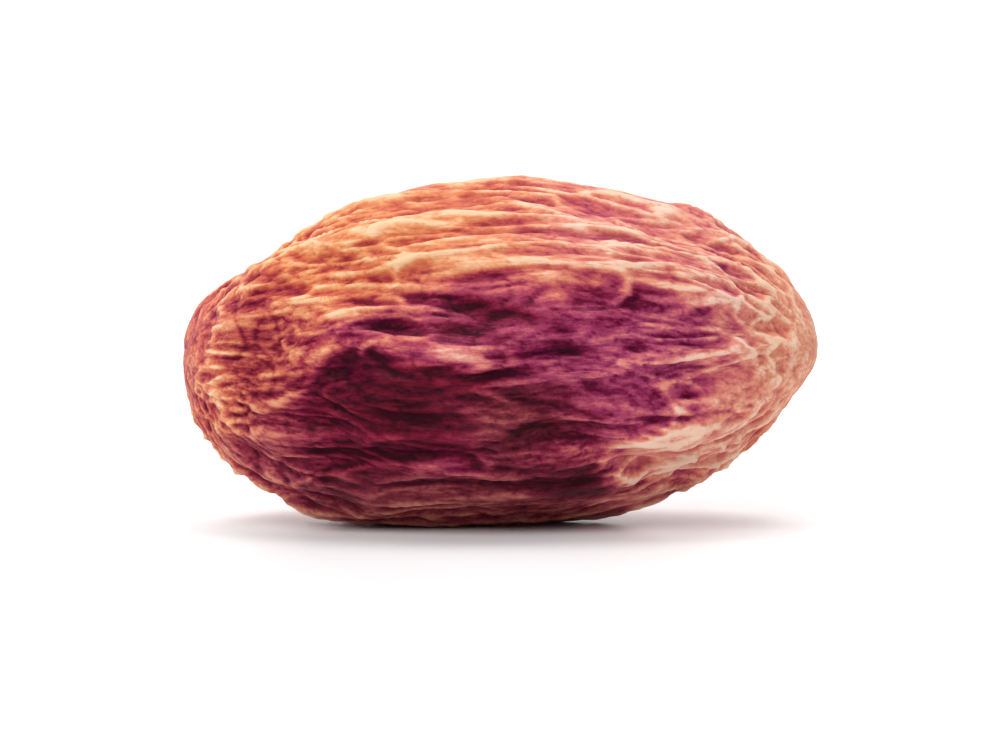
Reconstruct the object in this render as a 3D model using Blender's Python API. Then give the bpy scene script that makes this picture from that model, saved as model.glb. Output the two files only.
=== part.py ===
"""A shelled pistachio kernel in its skin, lying on a small flat spot of its edge.

One solid that grew as one piece. Metres, +Z up. X runs along the kernel, from its blunt base to its tip,
and the broad face that is seen first looks along -Y. The origin is under the middle of the kernel, on the
surface.
"""

import math

import bmesh
import bpy
from mathutils import Matrix, Vector, noise

# Driving sizes of the kernel as it lies, in metres, over all its ridges.
LENGTH = 0.0170  # from base to tip
THICKNESS = 0.0088  # from one broad face to the other
HEIGHT = 0.0093  # from the surface to the top of the rim
SPOT_DEPTH = 0.00012  # how far the underside is flattened where it rests

# How the kernel lies, in degrees.
TIP_RISE = 2.5  # the tip stands a little higher than the base
LEAN = 6.0  # the front face looks a little upwards

# The mesh starts as a cube whose long sides run from base to tip.
SQUARES_ALONG = 46
SQUARES_ACROSS = 24
END_SHRINK = 0.4  # how small its two end faces are drawn, so that nearly all folds follow its rows

# The smooth body. Heights are in metres, and the other values are shares of the kernel's half sizes.
RIM_TAPER = 0.06  # how much the outline seen from the front narrows to the tip
FACE_TAPER = 0.08  # the same, seen from above
FACE_FULLNESS = 2.4  # the power of the outline seen from above: 2 is an oval, and more has blunter ends
KEEL_HEIGHT = 0.00022  # the blunt ridge along the rim, where the two seed leaves meet
KEEL_HALF_WIDTH = 0.20
KEEL_WANDER = 0.06
KEEL_FADE_START, KEEL_FADE_END = 0.30, 0.90  # distances from the long axis between which the keel rises
FACE_FLAT_DEPTH = 0.00020  # how far each broad face is flatter than an oval
FACE_FLAT_REACH = 0.35
SWELL_HEIGHT = 0.00022  # broad, uneven swellings
SWELL_SCALE = 1.5

# The skin's lengthwise folds, which run from base to tip, wander and join.
FOLD_HEIGHT = 0.00032
FOLDS_ROUND = 3.6  # noise cells to each unit of the circle round the kernel's middle
FOLDS_JOIN = 0.70  # the power by which folds join, and so grow fewer, towards the base and the tip
FOLDS_ALONG = 1.15  # noise cells to each half length
FOLD_HALF_WIDTH = 0.26  # in steps of the noise
FOLD_FADE_START, FOLD_FADE_END = 0.20, 0.80  # distances from the long axis between which the folds rise

# Dents and swellings of its own: a direction from the kernel's middle, a half angle in degrees, a height.
DENTS = (
    {"towards": (-0.70, -0.05, 0.72), "half_angle": 17, "height": -0.00056},  # notch in the base's shoulder
    {"towards": (-0.32, 0.00, 0.95), "half_angle": 16, "height": 0.00012},  # hump behind the notch
    {"towards": (0.76, -0.10, -0.64), "half_angle": 22, "height": -0.00040},  # slope under the tip
    {"towards": (-0.48, -0.87, -0.04), "half_angle": 12, "height": -0.00036},  # hollow in the front face
    {"towards": (0.10, 0.90, 0.42), "half_angle": 20, "height": -0.00030},  # hollow in the hidden face
)

# Creases of the front face, each from start to end, as shares of the half length and the half height.
CREASES = (
    {"start": (-0.44, 0.12), "end": (-0.06, -0.04), "half_width": 0.070, "height": 0.00026},
    {"start": (-0.06, -0.04), "end": (0.20, -0.10), "half_width": 0.075, "height": 0.00016},
    {"start": (-0.34, 0.24), "end": (0.00, 0.31), "half_width": 0.080, "height": -0.00026},
    {"start": (0.30, 0.35), "end": (0.42, 0.33), "half_width": 0.100, "height": -0.00026},
    {"start": (0.20, 0.18), "end": (0.22, 0.02), "half_width": 0.070, "height": -0.00018},
    {"start": (0.14, -0.48), "end": (0.44, -0.72), "half_width": 0.070, "height": -0.00034},
    {"start": (0.34, -0.50), "end": (0.66, -0.50), "half_width": 0.070, "height": 0.00024},
    {"start": (0.52, -0.64), "end": (0.76, -0.54), "half_width": 0.065, "height": -0.00020},
    {"start": (-0.74, 0.32), "end": (-0.70, -0.06), "half_width": 0.060, "height": -0.00018},
    {"start": (-0.60, -0.22), "end": (-0.50, -0.56), "half_width": 0.075, "height": -0.00018},
)

# The scar at the base, where the kernel was held in its shell: a small pit with a raised lip.
SCAR_TOWARDS = (-0.93, 0.26, 0.26)
SCAR_HALF_ANGLE = 7.5
SCAR_DEPTH = 0.00030
LIP_HEIGHT = 0.00012

SKIN_COLOUR = (0.36, 0.10, 0.12, 1.0)
SKIN_ROUGHNESS = 0.55

HALF_SIZES = Vector((LENGTH / 2, THICKNESS / 2, HEIGHT / 2))


def clear_scene():
    for old in list(bpy.data.objects):
        bpy.data.objects.remove(old)


def hill(distance, half_width):
    """A smooth hill: 1 at no distance, and next to nothing from twice the half width."""
    return math.exp(-((distance / half_width) ** 2))


def smooth_step(value, low, high):
    share = min(1.0, max(0.0, (value - low) / (high - low)))
    return share * share * (3 - 2 * share)


def off_axis(direction):
    """The direction's distance from the long axis: 0 at the base and the tip, and 1 round the middle."""
    return math.hypot(direction.y, direction.z)


def body_relief(direction):
    """The keel along the rim, the flatter broad faces and the uneven swellings."""
    rim_place = KEEL_WANDER * math.sin(3 * direction.x)
    keel = KEEL_HEIGHT * hill(direction.y - rim_place, KEEL_HALF_WIDTH)
    keel *= smooth_step(off_axis(direction), KEEL_FADE_START, KEEL_FADE_END)
    face = FACE_FLAT_DEPTH * hill(1 - abs(direction.y), FACE_FLAT_REACH)
    swell = SWELL_HEIGHT * noise.noise(direction * SWELL_SCALE + Vector((4.1, 2.7, 9.3)))
    return keel - face + swell


def fold_relief(direction):
    """Ridges along the zero lines of a noise that is drawn out from base to tip."""
    away = max(off_axis(direction), 1e-6)
    circle = Vector((direction.y, direction.z)) * FOLDS_ROUND * away ** (FOLDS_JOIN - 1)
    place = Vector((circle.x, circle.y, direction.x * FOLDS_ALONG))
    crest = hill(noise.noise(place), FOLD_HALF_WIDTH)
    return FOLD_HEIGHT * smooth_step(away, FOLD_FADE_START, FOLD_FADE_END) * (crest - 0.5)


def dent_relief(direction):
    total = 0.0
    for dent in DENTS:
        away = direction.angle(Vector(dent["towards"]))
        total += dent["height"] * hill(away, math.radians(dent["half_angle"]))
    return total


def crease_relief(direction):
    """The front face's own creases, each a rounded groove or ridge along a line of the front view."""
    if direction.y > 0:
        return 0.0
    seen = Vector((direction.x, direction.z))
    total = 0.0
    for crease in CREASES:
        start, end = Vector(crease["start"]), Vector(crease["end"])
        run = end - start
        share = min(1.0, max(0.0, (seen - start).dot(run) / run.length_squared))
        away = (seen - start - run * share).length
        total += crease["height"] * hill(away, crease["half_width"])
    return total


def scar_relief(direction):
    away = direction.angle(Vector(SCAR_TOWARDS))
    half_angle = math.radians(SCAR_HALF_ANGLE)
    lip = LIP_HEIGHT * hill(away - 1.6 * half_angle, half_angle / 1.5)
    return lip - SCAR_DEPTH * hill(away, half_angle)


def kernel_point(direction):
    """Where a direction from the kernel's middle meets its skin, before the kernel is laid down."""
    outline = abs(direction.x) ** FACE_FULLNESS + off_axis(direction) ** FACE_FULLNESS
    fullness = outline ** (-1 / FACE_FULLNESS)
    shape = Vector((1.0, fullness * (1 - FACE_TAPER * direction.x), 1 - RIM_TAPER * direction.x))
    point = direction * HALF_SIZES * shape
    outward = Vector([share / size for share, size in zip(direction, HALF_SIZES)]).normalized()
    relief = body_relief(direction) + fold_relief(direction) + dent_relief(direction)
    relief += crease_relief(direction) + scar_relief(direction)
    return point + outward * relief


def runs_lengthwise(edge):
    return abs(edge.verts[0].co.x - edge.verts[1].co.x) > 0.001


def make_sphere(bm):
    """A cube cut into squares and blown up to a unit sphere, with its end faces drawn in small."""
    bmesh.ops.create_cube(bm, size=2)
    lengthwise = [edge for edge in bm.edges if runs_lengthwise(edge)]
    bmesh.ops.subdivide_edges(bm, edges=lengthwise, cuts=SQUARES_ALONG - 1, use_grid_fill=True)
    crosswise = [edge for edge in bm.edges if not runs_lengthwise(edge)]
    bmesh.ops.subdivide_edges(bm, edges=crosswise, cuts=SQUARES_ACROSS - 1, use_grid_fill=True)
    for vertex in bm.verts:
        direction = Vector([math.tan(math.pi / 4 * side) for side in vertex.co]).normalized()
        away = off_axis(direction)
        angle = math.atan2(away, abs(direction.x))
        angle *= END_SHRINK + (1 - END_SHRINK) * angle / (math.pi / 2)
        stretch = math.sin(angle) / max(away, 1e-6)
        along = math.copysign(math.cos(angle), direction.x)
        vertex.co = (along, direction.y * stretch, direction.z * stretch)


def corners(bm):
    """The lowest and the highest corner of the mesh."""
    axes = [[vertex.co[axis] for vertex in bm.verts] for axis in range(3)]
    return Vector([min(places) for places in axes]), Vector([max(places) for places in axes])


def lay_down(bm):
    """Turns the kernel to lie as it does, brings it to its true size, and flattens the spot it rests on."""
    turn = Matrix.Rotation(-math.radians(TIP_RISE), 4, "Y") @ Matrix.Rotation(-math.radians(LEAN), 4, "X")
    bmesh.ops.transform(bm, matrix=turn, verts=bm.verts)
    low, high = corners(bm)
    sizes = Vector((LENGTH, THICKNESS, HEIGHT + SPOT_DEPTH))
    for vertex in bm.verts:
        for axis in range(3):
            share = (vertex.co[axis] - low[axis]) / (high[axis] - low[axis])
            vertex.co[axis] = sizes[axis] * (share - (0.0 if axis == 2 else 0.5))
        vertex.co.z = max(vertex.co.z - SPOT_DEPTH, 0.0)


def skin_material():
    material = bpy.data.materials.new("kernel_skin")
    material.use_nodes = True
    shader = material.node_tree.nodes["Principled BSDF"]
    shader.inputs["Base Color"].default_value = SKIN_COLOUR
    shader.inputs["Roughness"].default_value = SKIN_ROUGHNESS
    shader.inputs["Metallic"].default_value = 0.0
    return material


def make_kernel():
    bm = bmesh.new()
    make_sphere(bm)
    for vertex in bm.verts:
        vertex.co = kernel_point(vertex.co.copy())
    lay_down(bm)
    bmesh.ops.recalc_face_normals(bm, faces=bm.faces)
    mesh = bpy.data.meshes.new("kernel")
    bm.to_mesh(mesh)
    bm.free()
    mesh.shade_smooth()
    mesh.materials.append(skin_material())
    kernel = bpy.data.objects.new("kernel", mesh)
    bpy.context.scene.collection.objects.link(kernel)
    return kernel


clear_scene()
make_kernel()
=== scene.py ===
"""The looks of one shelled pistachio kernel: its solid made finer, with the skin's relief and colours."""

import math

import bmesh
import bpy
import numpy as np
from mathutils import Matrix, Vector, noise


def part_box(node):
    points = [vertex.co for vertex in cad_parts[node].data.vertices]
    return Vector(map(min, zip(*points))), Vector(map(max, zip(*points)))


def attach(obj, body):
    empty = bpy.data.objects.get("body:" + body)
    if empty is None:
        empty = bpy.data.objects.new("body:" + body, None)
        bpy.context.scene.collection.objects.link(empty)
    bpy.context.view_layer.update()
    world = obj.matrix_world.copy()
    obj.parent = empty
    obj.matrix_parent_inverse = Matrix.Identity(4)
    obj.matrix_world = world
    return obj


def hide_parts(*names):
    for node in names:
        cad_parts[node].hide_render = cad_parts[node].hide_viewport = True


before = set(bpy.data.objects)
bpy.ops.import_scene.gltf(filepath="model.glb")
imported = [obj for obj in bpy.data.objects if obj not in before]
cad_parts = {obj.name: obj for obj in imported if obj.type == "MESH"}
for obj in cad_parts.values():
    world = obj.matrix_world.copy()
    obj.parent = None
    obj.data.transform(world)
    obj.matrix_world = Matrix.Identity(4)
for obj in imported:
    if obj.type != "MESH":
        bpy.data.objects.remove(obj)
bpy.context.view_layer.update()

# Kernel space: x runs from -1 at the base to 1 at the tip, y from -1 at the front face to 1 at the hidden
# one, and z from -1 at the surface to 1 at the top of the rim. All places below are in it.
LOW, HIGH = np.array(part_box("kernel"))
MIDDLE = (LOW + HIGH) / 2
HALF_SIZES = (HIGH - LOW) / 2

# How the solid's mesh is made finer.
WELD_DISTANCE = 1e-7  # metres
CUTS = 2

# The skin's grain runs lengthwise. Two of its axes lie in the circle round the kernel, and the third runs
# from base to tip. It draws together and fades towards the two ends.
GRAIN_JOIN = -0.3  # the power by which it draws together
GRAIN_NEAREST = 1e-6  # the least distance from the long axis that the power is taken of
GRAIN_WANDER = 0.11
GRAIN_WANDER_CELLS = 2.0
GRAIN_FADE_START, GRAIN_FADE_END = 0.15, 0.55  # distances from the long axis over which it rises

# The skin's relief. Heights are in metres, and cells are counted to each unit of the grain or of kernel
# space. Half widths are in steps of the noise, and the net's is in cells. Each middle height is taken off, so
# that the kernel keeps its size.
VEIN_HEIGHT = 0.00009  # broad raised veins
VEIN_CELLS = (6.0, 6.0, 1.8)
VEIN_HALF_WIDTH = 0.20
VEIN_MIDDLE = 0.5
NET_HEIGHT = 0.00009  # the thin raised net between them
NET_CELLS = (7.5, 7.5, 2.8)
NET_BEND = 0.4  # how far its lines are bent, in cells
NET_BEND_CELLS = 0.9  # cells of the bend to each cell of the net
NET_HALF_WIDTH = 0.17
NET_MIDDLE = 0.3
NET_FAINTEST = 0.4  # its share of the full height where it is faintest
NET_PATCHES = 2.4  # cells in which it comes and goes
NET_FAINT, NET_FULL = -0.35, 0.30  # noise values where it is faintest and where it has its full height
LUMP_HEIGHT = 0.00005  # rounded lumps with creases between them
LUMP_CELLS = (9.0, 9.0, 4.2)
LUMP_SHARPNESS = 3.0
CRINKLE_HEIGHT = 0.00004  # the same, but finer
CRINKLE_CELLS = (18.0, 18.0, 10.0)
CRINKLE_SHARPNESS = 3.5
CRINKLE_AT_ENDS = 0.5  # its share of the full height at the very ends
FINEST_CRINKLE = 0.5  # how strong crinkles of half the size are in it
PUCKER_HEIGHT = 0.00005  # creases across the two ends
PUCKER_CELLS = (11.0, 4.2, 4.2)
PUCKER_SHARPNESS = 4.0
BASE_PUCKER_START, BASE_PUCKER_END = 0.50, 0.80  # distances from the middle over which they rise
TIP_PUCKER_START, TIP_PUCKER_END = 0.70, 0.90
TIP_PUCKER = 0.4  # how strong they are at the tip, where the base has 1
CREASED_MIDDLE = 0.6  # the middle height of lumps, crinkles and puckers
SWELL_HEIGHT = 0.00008  # soft swellings
SWELL_CELLS = 3.6
LINE_HALF_WIDTH = 0.07  # the dark lines along the bottoms of the creases, painted shade
FINE_LINE = 0.6  # how dark they are between lumps and between crinkles, where puckers have 1

# Rounds of smoothing that part the skin's heights into crinkles and folds, for its colours, which paint shade
# into their hollows and highlight onto their tops.
NEAR_ROUNDS = 10  # take the crinkles off the skin
WIDE_ROUNDS = 200  # take the folds off as well
CREST_LEVEL_ROUNDS = 60  # give the slow drift of the crinkles' height, which is taken off
FOLD_LEVEL_ROUNDS = 400  # the same for the folds

# The magenta patch of each broad face: an oval in the view from the front, with a wandering edge. Side is the
# face's y, fade is how far from the rim's middle the patch begins to end, and start is that of its noise.
FRONT_PATCH = {
    "middle": (0.04, -0.07), "reach": (0.65, 0.50), "tilt": 15.0, "side": -1, "fade": 0.45, "start": 5.0,
}
HIDDEN_PATCH = {
    "middle": (-0.08, 0.02), "reach": (0.84, 0.72), "tilt": -6.0, "side": 1, "fade": 0.40, "start": 15.0,
}
PAST_RIM = 2.0  # how much the patch's field drops beyond the rim, which ends any patch
EDGE_WANDER = 0.28
EDGE_CELLS = (2.6, 0.0, 3.4)
FINE_EDGE = 0.6
FINE_EDGE_CELLS = (6.0, 0.0, 9.0)
OFF_PATCH, IN_PATCH = -0.12, 0.16  # values of the patch's field between which skin turns to patch
AREA_DRIFT = 0.12  # how far the areas' edges wander
AREA_DRIFT_CELLS = 3.2


def area(at, size, soft, pigment, warmth, brown=0.0):
    """An area of the skin: its middle, half sizes, how soft its edge is as a share of them, and colour."""
    return {"at": at, "size": size, "soft": soft, "pigment": pigment, "warmth": warmth, "brown": brown}


# The skin's ground and the areas laid over it, one over the other; some paint light or shade, as marked.
# Pigment is 0 in the palest skin and 1 in the darkest, warmth is 0 in pink skin and 1 in orange skin, and
# brown is how much has turned brown.
SKIN = {"pigment": 0.36, "warmth": 0.55, "brown": 0.0}
SKIN_AREAS = (
    area((-0.60, -0.30, 0.50), (0.34, 0.8, 0.34), 0.5, pigment=0.27, warmth=0.95),
    area((-0.22, -0.40, 0.76), (0.36, 0.8, 0.34), 0.4, pigment=0.18, warmth=0.95),
    area((0.14, -0.30, 0.80), (0.24, 0.8, 0.30), 0.5, pigment=0.24, warmth=0.75),
    area((0.50, -0.40, 0.70), (0.38, 0.8, 0.32), 0.5, pigment=0.20, warmth=0.30),
    area((0.74, -0.50, 0.16), (0.20, 0.7, 0.40), 0.6, pigment=0.22, warmth=0.15),
    area((1.00, -0.20, 0.10), (0.24, 0.9, 0.60), 0.5, pigment=0.12, warmth=0.50),
    # paler underside towards the tip: painted light bounced up from the floor
    area((0.58, -0.60, -0.56), (0.34, 0.5, 0.28), 0.5, pigment=0.13, warmth=0.30),
    area((-0.80, -0.30, -0.06), (0.26, 0.8, 0.44), 0.6, pigment=0.50, warmth=0.90, brown=0.3),
    # paler left end: partly the skin's paler base, partly a painted rim of light
    area((-1.00, -0.20, -0.05), (0.17, 0.9, 0.80), 0.6, pigment=0.32, warmth=0.80),
    area((-0.60, -0.60, -0.56), (0.20, 0.6, 0.30), 0.6, pigment=0.56, warmth=0.50, brown=0.4),
    # darker, browner bottom: partly the skin's own maroon, partly painted shade
    area((-0.14, -0.40, -0.70), (0.46, 0.8, 0.38), 0.4, pigment=0.76, warmth=0.50, brown=0.6),
    area((-0.38, -0.80, -0.46), (0.24, 0.5, 0.16), 0.6, pigment=0.86, warmth=0.70),
    # darker, browner bottom: partly the skin's own maroon, partly painted shade
    area((0.06, -0.30, -0.96), (0.60, 0.8, 0.22), 0.5, pigment=0.54, warmth=0.40, brown=0.9),
    # painted shade in a groove at the lower right
    area((0.25, -0.70, -0.68), (0.14, 0.5, 0.10), 0.6, pigment=0.96, warmth=0.50, brown=0.5),
    # the next two are painted highlights on ridges at the lower right
    area((0.44, -0.80, -0.62), (0.10, 0.5, 0.12), 0.6, pigment=0.16, warmth=0.25),
    area((0.37, -0.50, -0.88), (0.14, 0.5, 0.06), 0.6, pigment=0.12, warmth=0.20),
    area((-0.30, 0.50, 0.80), (0.50, 0.5, 0.34), 0.6, pigment=0.30, warmth=0.90),
    area((0.70, 0.50, -0.20), (0.34, 0.6, 0.60), 0.6, pigment=0.20, warmth=0.80),
)
# The same for the magenta patches; some paint light or shade, as marked.
PATCH = {"pigment": 0.73, "warmth": 0.30, "brown": 0.0}
PATCH_AREAS = (
    area((0.48, -0.90, 0.04), (0.38, 0.5, 0.44), 0.6, pigment=0.52, warmth=0.05),
    area((0.72, -0.80, 0.06), (0.15, 0.6, 0.38), 0.6, pigment=0.20, warmth=0.15),
    area((0.08, -0.70, 0.60), (0.32, 0.6, 0.14), 0.8, pigment=0.30, warmth=0.50),
    area((-0.32, -0.90, -0.20), (0.30, 0.5, 0.30), 0.6, pigment=0.91, warmth=0.90),
    # the next three are painted shade in the valleys along the patch's top and in a groove
    area((-0.03, -0.90, 0.31), (0.15, 0.5, 0.06), 0.7, pigment=0.80, warmth=0.70),
    area((0.36, -0.90, 0.31), (0.09, 0.5, 0.08), 0.8, pigment=0.72, warmth=0.20),
    area((0.21, -0.90, 0.10), (0.04, 0.5, 0.10), 0.8, pigment=0.80, warmth=0.20),
    # the next two are a painted highlight along a ridge
    area((-0.34, -0.90, 0.10), (0.12, 0.5, 0.06), 0.8, pigment=0.44, warmth=0.45),
    area((-0.16, -0.90, 0.03), (0.14, 0.5, 0.05), 0.8, pigment=0.48, warmth=0.10),
    # a painted glint
    area((0.51, -0.90, -0.22), (0.03, 0.5, 0.06), 0.8, pigment=0.22, warmth=0.20),
    area((0.04, -0.90, -0.34), (0.20, 0.5, 0.22), 0.6, pigment=0.76, warmth=0.40, brown=0.8),
    # painted shade in a hollow
    area((-0.49, -0.80, -0.06), (0.13, 0.4, 0.14), 0.7, pigment=0.92, warmth=0.50),
    area((0.20, 0.90, 0.00), (0.50, 0.5, 0.36), 0.7, pigment=0.62, warmth=0.10),
)
# The scar at the base, laid over skin and patches: a pale ring, and a brown pit in it.
SCAR_AREAS = (
    area((-0.93, 0.32, 0.17), (0.16, 0.19, 0.19), 0.4, pigment=0.20, warmth=0.90),
    area((-0.93, 0.32, 0.17), (0.10, 0.11, 0.11), 0.5, pigment=0.62, warmth=0.90, brown=0.9),
)

# The skin's colours by how much pigment it holds, as 0 to 255 on a screen.
WARM_SKIN = (
    (0.00, (240, 200, 156)), (0.16, (230, 154, 100)), (0.34, (208, 108, 72)), (0.50, (176, 64, 60)),
    (0.66, (134, 26, 46)), (0.78, (104, 8, 32)), (0.90, (74, 2, 26)), (1.00, (44, 0, 18)),
)
PINK_SKIN = (
    (0.00, (244, 206, 190)), (0.16, (230, 156, 142)), (0.34, (206, 108, 116)), (0.50, (170, 70, 108)),
    (0.66, (136, 40, 82)), (0.78, (106, 14, 56)), (0.90, (76, 4, 38)), (1.00, (48, 2, 24)),
)
BROWN_SKIN = (
    (0.00, (232, 180, 150)), (0.36, (176, 100, 88)), (0.60, (128, 48, 56)), (0.80, (90, 24, 38)),
    (1.00, (46, 6, 18)),
)

# The fine patterns in the skin's colour, with their cells to each unit.
STREAK_CELLS = (12.0, 12.0, 3.4)
THREAD_CELLS = (36.0, 36.0, 10.0)
MOTTLE_CELLS = 9.0
DUST_CELLS = 60.0
PATTERN_ROUGHNESS = 0.6
NOISE_LOW, NOISE_HIGH = 0.30, 0.70  # nearly all of a pattern's values lie between these
RELIEF_LOW, RELIEF_HIGH = -2.4, 2.4  # the same for crest and fold

# What each adds to the pigment at its low end and at its high end; by fold, crest and lines it is partly
# painted shade and highlight.
PIGMENT_BY_STREAK = (-0.05, 0.05)
PIGMENT_BY_THREAD = (-0.08, 0.08)
PIGMENT_BY_DUST = (-0.06, 0.06)
PIGMENT_BY_MOTTLE = (-0.12, 0.16)
# painted shade in the folds' hollows and painted highlight on their tops
PAINTED_SHADING_BY_FOLD = (0.24, -0.16)
# partly the skin's own paler veins, partly painted highlight on the crests and painted shade between them
TONE_AND_PAINTED_SHADING_BY_CREST = (0.16, -0.16)
# painted shade along the bottoms of the creases, and the skin's own paler net
PAINTED_CREASE_SHADE_AND_NET_TONE = 0.12

# Grades of the skin by its ground's pigment: from, to, and the value at each.
WIDE_BY_GROUND = (0.25, 0.65, 1.0, 0.3)  # mottle and folds show less in darker skin
PALE_BY_GROUND = (0.00, 0.50, 0.50, 1.0)  # the palest skin changes less than the rest
DARK_BY_GROUND = (0.70, 0.90, 1.0, 0.65)  # and so does the darkest
GLOW_BY_GROUND = (0.1, 0.6, 0.20, 0.04)  # paler skin lets more light in

# The skin's gloss and its finest relief.
ROUGHNESS_BY_PATTERN = (0.7, 1.3, 0.28, 0.44)  # from, to, and the value at each
ROUGHNESS_BY_HOLLOW = (-2.0, 1.0, 0.24, 0.0)  # what the hollows add, so that the ridges shine more
THREAD_IN_FINEST = 0.8
OTHERS_IN_FINEST = 0.4
FINEST_HEIGHT = 0.00006  # metres
FINEST_STRENGTH = 0.8


def hill(distance, half_width):
    """A smooth hill: 1 at no distance, and next to nothing from twice the half width."""
    return np.exp(-((distance / half_width) ** 2))


def smooth_step(value, low, high):
    share = np.clip((value - low) / (high - low), 0.0, 1.0)
    return share * share * (3 - 2 * share)


def noise_at(places, cells, start=0.0):
    """Noise from about -1 to 1 at each place: its cells to each unit along the axes, and its start."""
    spots = places * np.array(cells) + start
    return np.array([noise.noise(spot) for spot in spots.tolist()])


def noise_vectors(places, cells, starts):
    """Three noises at each place, one row each."""
    return np.stack([noise_at(places, cells, start) for start in starts], axis=1)


def net_at(places, cells, bend, start):
    """How far each place is from the lines of an uneven net, whose meshes are the cells: 0 on a line."""
    spots = places * np.array(cells) + start
    bent = spots + bend * noise_vectors(spots, NET_BEND_CELLS, (3.0, 33.0, 63.0))
    nearest = np.array([noise.voronoi(spot)[0][:2] for spot in bent.tolist()])
    return nearest[:, 1] - nearest[:, 0]


def creased(field, sharpness):
    """Turns noise into rounded lumps from 0 to 1, with a sharp crease between them at 0."""
    return np.tanh(sharpness * np.abs(field))


def off_axis(places):
    """Each place's distance from the long axis."""
    return np.hypot(places[:, 1], places[:, 2])


def grain_of(places):
    """The circle round the kernel and the way along it, in which all of the skin's grain runs lengthwise."""
    spread = np.maximum(off_axis(places), GRAIN_NEAREST) ** GRAIN_JOIN
    grain = np.stack((places[:, 1] * spread, places[:, 2] * spread, places[:, 0]), axis=1)
    return grain + GRAIN_WANDER * noise_vectors(places, GRAIN_WANDER_CELLS, (1.0, 21.0, 41.0))


def patch_field(places, patch):
    """Above 0 inside a patch and below 0 outside it and beyond the rim, with a wandering edge."""
    start = patch["start"]
    turn = math.radians(patch["tilt"])
    x, z = places[:, 0] - patch["middle"][0], places[:, 2] - patch["middle"][1]
    across = x * math.cos(turn) + z * math.sin(turn)
    upward = z * math.cos(turn) - x * math.sin(turn)
    away = np.hypot(across / patch["reach"][0], upward / patch["reach"][1])
    wander = noise_at(places, EDGE_CELLS, start) + FINE_EDGE * noise_at(places, FINE_EDGE_CELLS, start + 7.0)
    beyond = smooth_step(-patch["side"] * places[:, 1], -patch["fade"], 0.0)
    return 1.0 - away + EDGE_WANDER * wander - PAST_RIM * beyond


def net_relief(places, grain):
    """The raised net from 0 to 1, which comes and goes over the skin."""
    strength = smooth_step(noise_at(places, NET_PATCHES, 31.0), NET_FAINT, NET_FULL)
    net = hill(net_at(grain, NET_CELLS, NET_BEND, 13.0), NET_HALF_WIDTH)
    return (NET_FAINTEST + (1 - NET_FAINTEST) * strength) * net


def skin_relief(places, grain):
    """How far the skin stands off the solid, and its lines: above 0 in the creases, as painted shade, below 0
    on the net.
    """
    risen = smooth_step(off_axis(places), GRAIN_FADE_START, GRAIN_FADE_END)
    veins = hill(noise_at(grain, VEIN_CELLS, 3.0), VEIN_HALF_WIDTH)
    net = net_relief(places, grain)
    lumps = noise_at(grain, LUMP_CELLS, 11.0)
    crinkles = noise_at(grain, CRINKLE_CELLS, 17.0)
    crinkles += FINEST_CRINKLE * noise_at(grain, np.array(CRINKLE_CELLS) * 2, 5.0)
    puckers = noise_at(places, PUCKER_CELLS)
    ends = smooth_step(-places[:, 0], BASE_PUCKER_START, BASE_PUCKER_END)
    ends += TIP_PUCKER * smooth_step(places[:, 0], TIP_PUCKER_START, TIP_PUCKER_END)

    height = VEIN_HEIGHT * (veins - VEIN_MIDDLE) + NET_HEIGHT * (net - NET_MIDDLE)
    height += LUMP_HEIGHT * (creased(lumps, LUMP_SHARPNESS) - CREASED_MIDDLE)
    height *= risen
    crinkle_share = CRINKLE_AT_ENDS + (1 - CRINKLE_AT_ENDS) * risen
    height += CRINKLE_HEIGHT * crinkle_share * (creased(crinkles, CRINKLE_SHARPNESS) - CREASED_MIDDLE)
    height += SWELL_HEIGHT * noise_at(places, SWELL_CELLS)
    height += PUCKER_HEIGHT * ends * (creased(puckers, PUCKER_SHARPNESS) - CREASED_MIDDLE)

    lines = FINE_LINE * risen * hill(lumps, LINE_HALF_WIDTH) + FINE_LINE * hill(crinkles, LINE_HALF_WIDTH)
    lines += ends * hill(puckers, LINE_HALF_WIDTH) - risen * net
    return height, lines


def coloured(places, ground, areas):
    """Pigment, warmth and brown of the skin at each place: the ground's, with the areas laid over it."""
    values = {kind: np.full(len(places), value) for kind, value in ground.items()}
    for spot in areas:
        away = np.linalg.norm((places - spot["at"]) / spot["size"], axis=1)
        share = 1 - smooth_step(away, 1 - spot["soft"], 1 + spot["soft"])
        for kind, value in values.items():
            values[kind] = value + (spot[kind] - value) * share
    return values


def skin_colours(places):
    """Pigment, warmth and brown of the whole skin: patches over skin, and the scar over both."""
    in_patch = np.maximum(patch_field(places, FRONT_PATCH), patch_field(places, HIDDEN_PATCH))
    in_patch = smooth_step(in_patch, OFF_PATCH, IN_PATCH)
    drifted = places + AREA_DRIFT * noise_vectors(places, AREA_DRIFT_CELLS, (2.0, 12.0, 22.0))
    skin, patch = coloured(drifted, SKIN, SKIN_AREAS), coloured(drifted, PATCH, PATCH_AREAS)
    whole = {kind: skin[kind] + (patch[kind] - skin[kind]) * in_patch for kind in SKIN}
    return coloured(places, whole, SCAR_AREAS)


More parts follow.
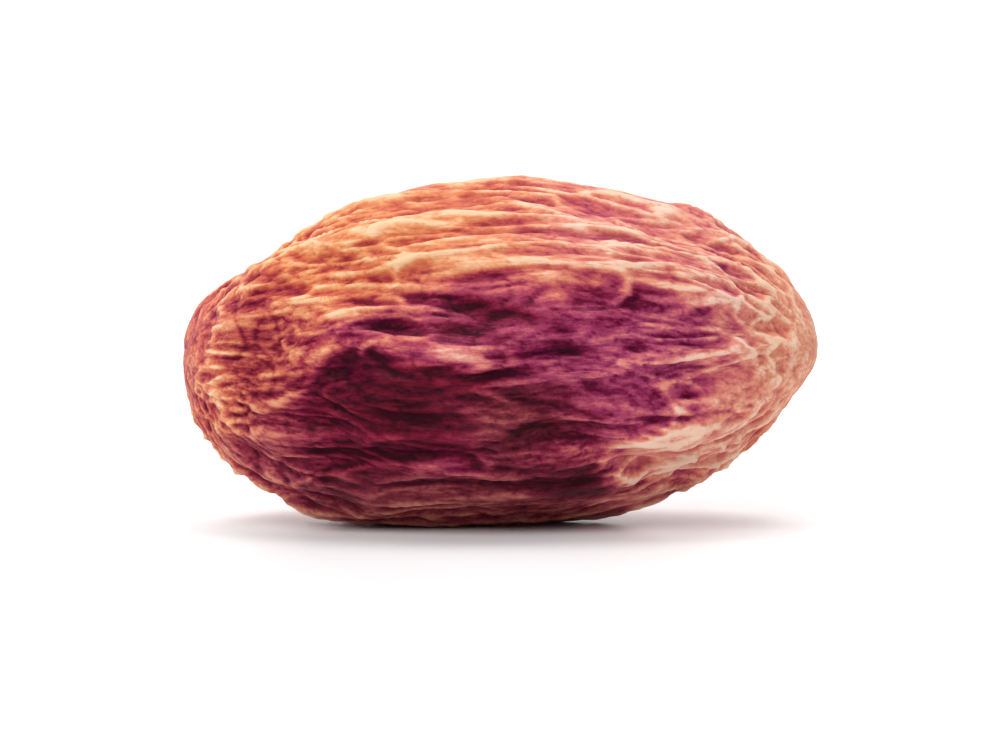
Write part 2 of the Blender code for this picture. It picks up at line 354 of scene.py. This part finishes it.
def finer_copy(node):
    """A copy of a node's mesh with its triangles paired into squares, and the squares cut."""
    bm = bmesh.new()
    bm.from_mesh(node.data)
    bm.transform(node.matrix_world)
    bmesh.ops.remove_doubles(bm, verts=bm.verts, dist=WELD_DISTANCE)
    bmesh.ops.join_triangles(
        bm, faces=bm.faces, angle_face_threshold=math.pi, angle_shape_threshold=math.pi
    )
    mesh = bpy.data.meshes.new("rough_skin")
    bm.to_mesh(mesh)
    bm.free()
    piece = bpy.data.objects.new("kernel_skin", mesh)
    bpy.context.scene.collection.objects.link(piece)
    cut = piece.modifiers.new("cut", "SUBSURF")
    cut.levels = cut.render_levels = CUTS
    evaluated = piece.evaluated_get(bpy.context.evaluated_depsgraph_get())
    piece.data = bpy.data.meshes.new_from_object(evaluated)
    piece.data.name = "kernel_skin"
    piece.modifiers.clear()
    return piece


def vertex_vectors(mesh, name):
    """The place or the normal of each vertex, one row each."""
    values = np.empty(len(mesh.vertices) * 3)
    mesh.vertices.foreach_get(name, values)
    return values.reshape(-1, 3)


def smoothed(values, edges, rounds):
    """The vertices' values after moving towards the mean of their neighbours that many times."""
    first, second = edges.T
    count = len(values)
    neighbours = np.bincount(edges.ravel(), minlength=count)
    columns = []
    for column in values.reshape(count, -1).T:
        for _ in range(rounds):
            total = np.bincount(first, column[second], count) + np.bincount(second, column[first], count)
            column = (column + total / neighbours) / 2
        columns.append(column)
    return np.stack(columns, axis=1).reshape(values.shape)


def store(mesh, name, values):
    """Keeps one number, or one vector, for each vertex under a name that the materials read."""
    kind, field = ("FLOAT", "value") if values.ndim == 1 else ("FLOAT_VECTOR", "vector")
    layer = mesh.attributes.new(name, kind, "POINT")
    layer.data.foreach_set(field, np.ascontiguousarray(values, dtype=np.float32).ravel())


def store_heights(mesh):
    """Keeps how far each vertex stands out: crest on the fine crinkles, and fold on the wide folds."""
    edges = np.empty(len(mesh.edges) * 2, dtype=np.int32)
    mesh.edges.foreach_get("vertices", edges)
    edges = edges.reshape(-1, 2)
    points, outward = vertex_vectors(mesh, "co"), vertex_vectors(mesh, "normal")
    near = smoothed(points, edges, NEAR_ROUNDS)
    wide = smoothed(near, edges, WIDE_ROUNDS)
    levels = (("crest", points, near, CREST_LEVEL_ROUNDS), ("fold", near, wide, FOLD_LEVEL_ROUNDS))
    for name, finer, coarser, rounds in levels:
        height = ((finer - coarser) * outward).sum(axis=1)
        height -= smoothed(height, edges, rounds)
        store(mesh, name, height / height.std())


def make_skin(node):
    """The kernel's skin: the solid made finer, its relief added, and what its colours need measured."""
    piece = finer_copy(node)
    mesh = piece.data
    points = vertex_vectors(mesh, "co")
    places = (points - MIDDLE) / HALF_SIZES
    grain = grain_of(places)
    heights, lines = skin_relief(places, grain)
    points += vertex_vectors(mesh, "normal") * heights[:, None]
    points[:, 2] = np.maximum(points[:, 2], 0.0)
    mesh.vertices.foreach_set("co", points.ravel())
    mesh.update()
    for kind, values in skin_colours(places).items():
        store(mesh, kind, values)
    store(mesh, "place", places)
    store(mesh, "grain", grain)
    store(mesh, "lines", lines)
    store_heights(mesh)
    mesh.shade_smooth()
    return piece


def srgb(red, green, blue):
    """A colour given as 0 to 255 on a screen, as the shader counts it."""
    def linear(part):
        part /= 255
        return part / 12.92 if part <= 0.04045 else ((part + 0.055) / 1.055) ** 2.4
    return (linear(red), linear(green), linear(blue), 1.0)


class Nodes:
    """Short ways to add the nodes of one material."""

    def __init__(self, name):
        self.material = bpy.data.materials.new(name)
        self.material.use_nodes = True
        self.tree = self.material.node_tree
        self.shader = self.tree.nodes["Principled BSDF"]

    def add(self, kind, inputs, output=0, **settings):
        made = self.tree.nodes.new(kind)
        for name, value in settings.items():
            setattr(made, name, value)
        for key, value in inputs.items():
            if isinstance(value, bpy.types.NodeSocket):
                self.tree.links.new(value, made.inputs[key])
            else:
                made.inputs[key].default_value = value
        return made.outputs[output]

    def number(self, name):
        return self.add("ShaderNodeAttribute", {}, "Fac", attribute_name=name)

    def vector(self, name):
        return self.add("ShaderNodeAttribute", {}, "Vector", attribute_name=name)

    def product(self, first, second):
        return self.add("ShaderNodeMath", {0: first, 1: second}, operation="MULTIPLY")

    def total(self, *values):
        result = values[0]
        for value in values[1:]:
            result = self.add("ShaderNodeMath", {0: result, 1: value}, operation="ADD")
        return result

    def scaled(self, vector, scale):
        return self.add("ShaderNodeVectorMath", {0: vector, 1: scale}, operation="MULTIPLY")

    def noise(self, vector, scale, detail, roughness=0.5):
        inputs = {"Vector": vector, "Scale": scale, "Detail": detail, "Roughness": roughness}
        return self.add("ShaderNodeTexNoise", inputs)

    def grade(self, value, low, high, to_low, to_high):
        """Goes smoothly from one value to the other while the input goes from low to high."""
        inputs = {"Value": value, "From Min": low, "From Max": high, "To Min": to_low, "To Max": to_high}
        return self.add("ShaderNodeMapRange", inputs, interpolation_type="SMOOTHSTEP")

    def mix(self, share, first, second):
        return self.add("ShaderNodeMix", {0: share, 6: first, 7: second}, 2, data_type="RGBA")

    def ramp(self, value, stops):
        """Colours by a value, from stops of a place on the ramp and a colour."""
        made = self.tree.nodes.new("ShaderNodeValToRGB")
        self.tree.links.new(value, made.inputs["Fac"])
        elements = made.color_ramp.elements
        for element, (place, colour) in zip((elements[0], elements[1]), (stops[0], stops[-1])):
            element.position, element.color = place, srgb(*colour)
        for place, colour in stops[1:-1]:
            elements.new(place).color = srgb(*colour)
        return made.outputs["Color"]

    def set(self, name, value):
        if isinstance(value, bpy.types.NodeSocket):
            self.tree.links.new(value, self.shader.inputs[name])
        else:
            self.shader.inputs[name].default_value = value


def skin_material():
    nodes = Nodes("kernel_skin")
    place = nodes.vector("place")
    grain = nodes.vector("grain")
    crest = nodes.number("crest")
    fold = nodes.number("fold")
    ground = nodes.number("pigment")
    streak = nodes.noise(nodes.scaled(grain, STREAK_CELLS), 1.0, detail=4.0, roughness=PATTERN_ROUGHNESS)
    thread = nodes.noise(nodes.scaled(grain, THREAD_CELLS), 1.0, detail=3.0, roughness=PATTERN_ROUGHNESS)
    mottle = nodes.noise(place, MOTTLE_CELLS, detail=4.0, roughness=PATTERN_ROUGHNESS)
    dust = nodes.noise(place, DUST_CELLS, detail=3.0, roughness=PATTERN_ROUGHNESS)

    wide = nodes.total(
        nodes.grade(mottle, NOISE_LOW, NOISE_HIGH, *PIGMENT_BY_MOTTLE),
        # painted shade in the folds' hollows and painted highlight on their tops
        nodes.grade(fold, RELIEF_LOW, RELIEF_HIGH, *PAINTED_SHADING_BY_FOLD),
    )
    change = nodes.total(
        nodes.grade(streak, NOISE_LOW, NOISE_HIGH, *PIGMENT_BY_STREAK),
        nodes.grade(thread, NOISE_LOW, NOISE_HIGH, *PIGMENT_BY_THREAD),
        nodes.grade(dust, NOISE_LOW, NOISE_HIGH, *PIGMENT_BY_DUST),
        nodes.product(wide, nodes.grade(ground, *WIDE_BY_GROUND)),
        # partly the skin's own paler veins, partly painted highlight on the crests and painted shade between
        # them
        nodes.grade(crest, RELIEF_LOW, RELIEF_HIGH, *TONE_AND_PAINTED_SHADING_BY_CREST),
        # painted shade along the bottoms of the creases, and the skin's own paler net
        nodes.product(nodes.number("lines"), PAINTED_CREASE_SHADE_AND_NET_TONE),
    )
    change = nodes.product(change, nodes.grade(ground, *PALE_BY_GROUND))
    change = nodes.product(change, nodes.grade(ground, *DARK_BY_GROUND))
    pigment = nodes.total(ground, change)
    colour = nodes.mix(nodes.number("warmth"), nodes.ramp(pigment, PINK_SKIN), nodes.ramp(pigment, WARM_SKIN))
    colour = nodes.mix(nodes.number("brown"), colour, nodes.ramp(pigment, BROWN_SKIN))
    nodes.set("Base Color", colour)

    nodes.set("Roughness", nodes.total(
        nodes.grade(nodes.total(mottle, dust), *ROUGHNESS_BY_PATTERN),
        nodes.grade(nodes.total(crest, fold), *ROUGHNESS_BY_HOLLOW),
    ))
    others = [nodes.product(pattern, OTHERS_IN_FINEST) for pattern in (streak, dust, mottle)]
    finest = nodes.total(nodes.product(thread, THREAD_IN_FINEST), *others)
    bump = {"Strength": FINEST_STRENGTH, "Distance": FINEST_HEIGHT, "Height": finest}
    nodes.set("Normal", nodes.add("ShaderNodeBump", bump))
    nodes.set("IOR", 1.46)
    nodes.set("Specular IOR Level", 0.22)
    nodes.set("Specular Tint", srgb(255, 176, 176))
    nodes.set("Subsurface Weight", nodes.grade(ground, *GLOW_BY_GROUND))
    nodes.set("Subsurface Radius", (1.0, 0.35, 0.25))
    nodes.set("Subsurface Scale", 0.0004)
    return nodes.material


# The stage: a pale sweep that is the floor and, far behind, a wall.
FLOOR_REACH = 0.9
WALL_DISTANCE = 0.45
WALL_HEIGHT = 0.7
BEND_RADIUS = 0.25
BEND_STEPS = 24
FLOOR_CLOUDS = 40.0  # cells of its faint clouds to each metre
FLOOR_COLOURS = ((244, 244, 245), (247, 247, 247))
FLOOR_ROUGHNESS = (0.34, 0.40)

# Its soft square lights, and the white light from all round.
BACKDROP_MIDDLE = (0.0, WALL_DISTANCE, 0.08)
LIGHTS = (
    {"name": "front", "place": (-0.12, -0.28, 0.32), "width": 0.34, "target": MIDDLE, "watts": 1.42},
    {"name": "overhead", "place": (0.02, 0.10, 0.42), "width": 0.36, "target": MIDDLE, "watts": 0.60},
    {"name": "left", "place": (-0.32, 0.16, 0.12), "width": 0.16, "target": MIDDLE, "watts": 0.36},
    {"name": "right", "place": (0.32, 0.18, 0.12), "width": 0.16, "target": MIDDLE, "watts": 0.32},
    {"name": "backdrop", "place": (0.0, 0.12, 0.44), "width": 0.30, "target": BACKDROP_MIDDLE, "watts": 1.2},
)
WORLD_COLOUR = (1.0, 1.0, 1.0, 1.0)
WORLD_STRENGTH = 0.14

# The camera looks from a little above the surface, with a long lens, as the photograph does.
CAMERA_RISE = 5.0
LENS = 180.0
SENSOR_WIDTH = 36.0
FRAME_WIDTH = 0.0268  # how much the picture spans at the kernel
LOOK_AT = Vector((0.0, 0.0, 0.0040))
CLIP_START, CLIP_END = 0.005, 10.0


def floor_material():
    nodes = Nodes("pale_floor")
    cloud = nodes.noise(nodes.add("ShaderNodeTexCoord", {}, "Object"), FLOOR_CLOUDS, detail=2.0)
    nodes.set("Base Color", nodes.mix(cloud, srgb(*FLOOR_COLOURS[0]), srgb(*FLOOR_COLOURS[1])))
    nodes.set("Roughness", nodes.grade(cloud, NOISE_LOW, NOISE_HIGH, *FLOOR_ROUGHNESS))
    nodes.set("Specular IOR Level", 0.35)
    return nodes.material


def make_floor():
    """A sheet that lies flat, bends up behind the object and ends as a wall."""
    profile = [(-FLOOR_REACH, 0.0), (WALL_DISTANCE - BEND_RADIUS, 0.0)]
    for step in range(1, BEND_STEPS + 1):
        turn = math.pi / 2 * step / BEND_STEPS
        y = WALL_DISTANCE - BEND_RADIUS + BEND_RADIUS * math.sin(turn)
        profile.append((y, BEND_RADIUS * (1 - math.cos(turn))))
    profile.append((WALL_DISTANCE, WALL_HEIGHT))
    bm = bmesh.new()
    rows = [[bm.verts.new((x, y, z)) for y, z in profile] for x in (-FLOOR_REACH, FLOOR_REACH)]
    for step in range(len(profile) - 1):
        bm.faces.new((rows[0][step], rows[1][step], rows[1][step + 1], rows[0][step + 1]))
    mesh = bpy.data.meshes.new("floor")
    bm.to_mesh(mesh)
    bm.free()
    mesh.shade_smooth()
    mesh.materials.append(floor_material())
    floor = bpy.data.objects.new("floor", mesh)
    bpy.context.scene.collection.objects.link(floor)
    return floor


def add_light(name, place, width, target, watts):
    """A square soft light that looks at a target."""
    lamp = bpy.data.lights.new(name, "AREA")
    lamp.shape = "SQUARE"
    lamp.size = width
    lamp.energy = watts
    light = bpy.data.objects.new(name, lamp)
    light.location = place
    light.rotation_euler = (Vector(target) - Vector(place)).to_track_quat("-Z", "Y").to_euler()
    bpy.context.scene.collection.objects.link(light)


def light_stage():
    world = bpy.data.worlds.new("studio")
    world.use_nodes = True
    world.node_tree.nodes["Background"].inputs["Color"].default_value = WORLD_COLOUR
    world.node_tree.nodes["Background"].inputs["Strength"].default_value = WORLD_STRENGTH
    bpy.context.scene.world = world
    for light in LIGHTS:
        add_light(**light)


def make_camera():
    data = bpy.data.cameras.new("camera")
    data.lens = LENS
    data.sensor_width = SENSOR_WIDTH
    data.clip_start = CLIP_START
    data.clip_end = CLIP_END
    camera = bpy.data.objects.new("camera", data)
    rise = math.radians(CAMERA_RISE)
    back = Vector((0.0, -math.cos(rise), math.sin(rise)))
    camera.location = LOOK_AT + back * (FRAME_WIDTH * LENS / SENSOR_WIDTH)
    camera.rotation_euler = (-back).to_track_quat("-Z", "Y").to_euler()
    bpy.context.scene.collection.objects.link(camera)
    bpy.context.scene.camera = camera


skin = make_skin(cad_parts["kernel"])
skin.data.materials.clear()
skin.data.materials.append(skin_material())
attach(skin, "root")
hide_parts("kernel")
make_floor()
light_stage()
make_camera()
bpy.context.scene.view_settings.view_transform = "Standard"
